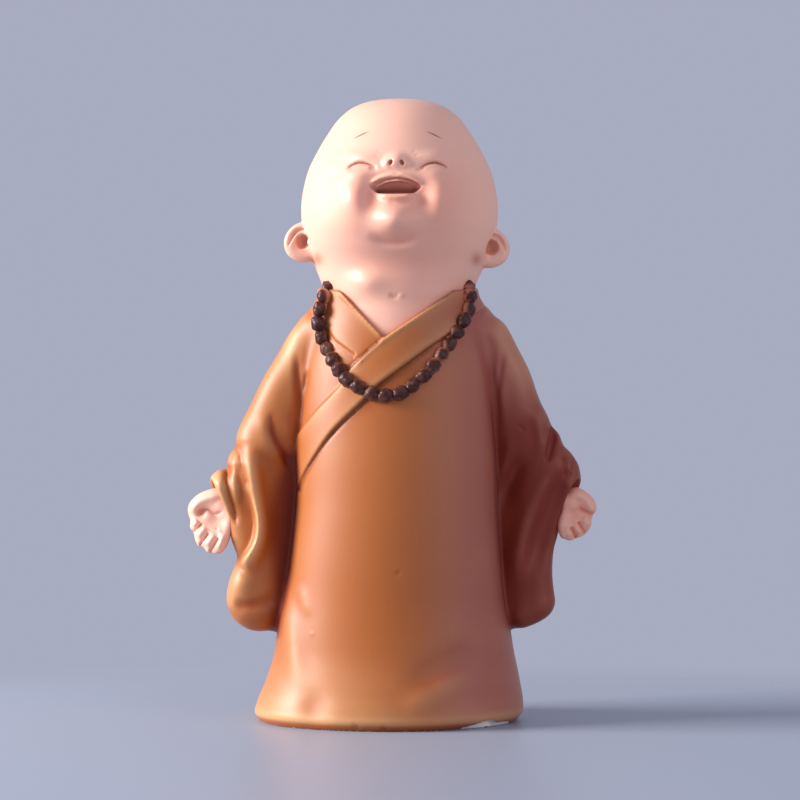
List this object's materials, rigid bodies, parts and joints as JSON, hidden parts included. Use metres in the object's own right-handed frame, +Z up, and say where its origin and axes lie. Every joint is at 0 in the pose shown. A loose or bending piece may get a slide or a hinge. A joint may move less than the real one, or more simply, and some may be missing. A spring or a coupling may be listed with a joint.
{
  "type": "monk figurine",
  "caption": "Standing child monk figurine with a laughing upturned face, open arms, a long wide-sleeved robe and a bead string, cast in one piece with a flat underside.",
  "frame": {"origin": "centre of the flat underside, under the middle of the figure, on the surface that it stands on", "axes": "+Z up to the top of the head, -Y the way the figure faces, +X to the viewer's right"},
  "size_m": [0.0657, 0.0358, 0.1],
  "materials": {
    "robe_paint": "satin ochre paint with a dark red-brown wash in the folds, over cast resin",
    "skin_paint": "satin pale skin paint with a rosy blush, over cast resin",
    "bead_paint": "semi-gloss dark brown paint over cast resin"
  },
  "bodies": {
    "root": {"monk_figurine": "robe_paint"}
  },
  "joints": []
}
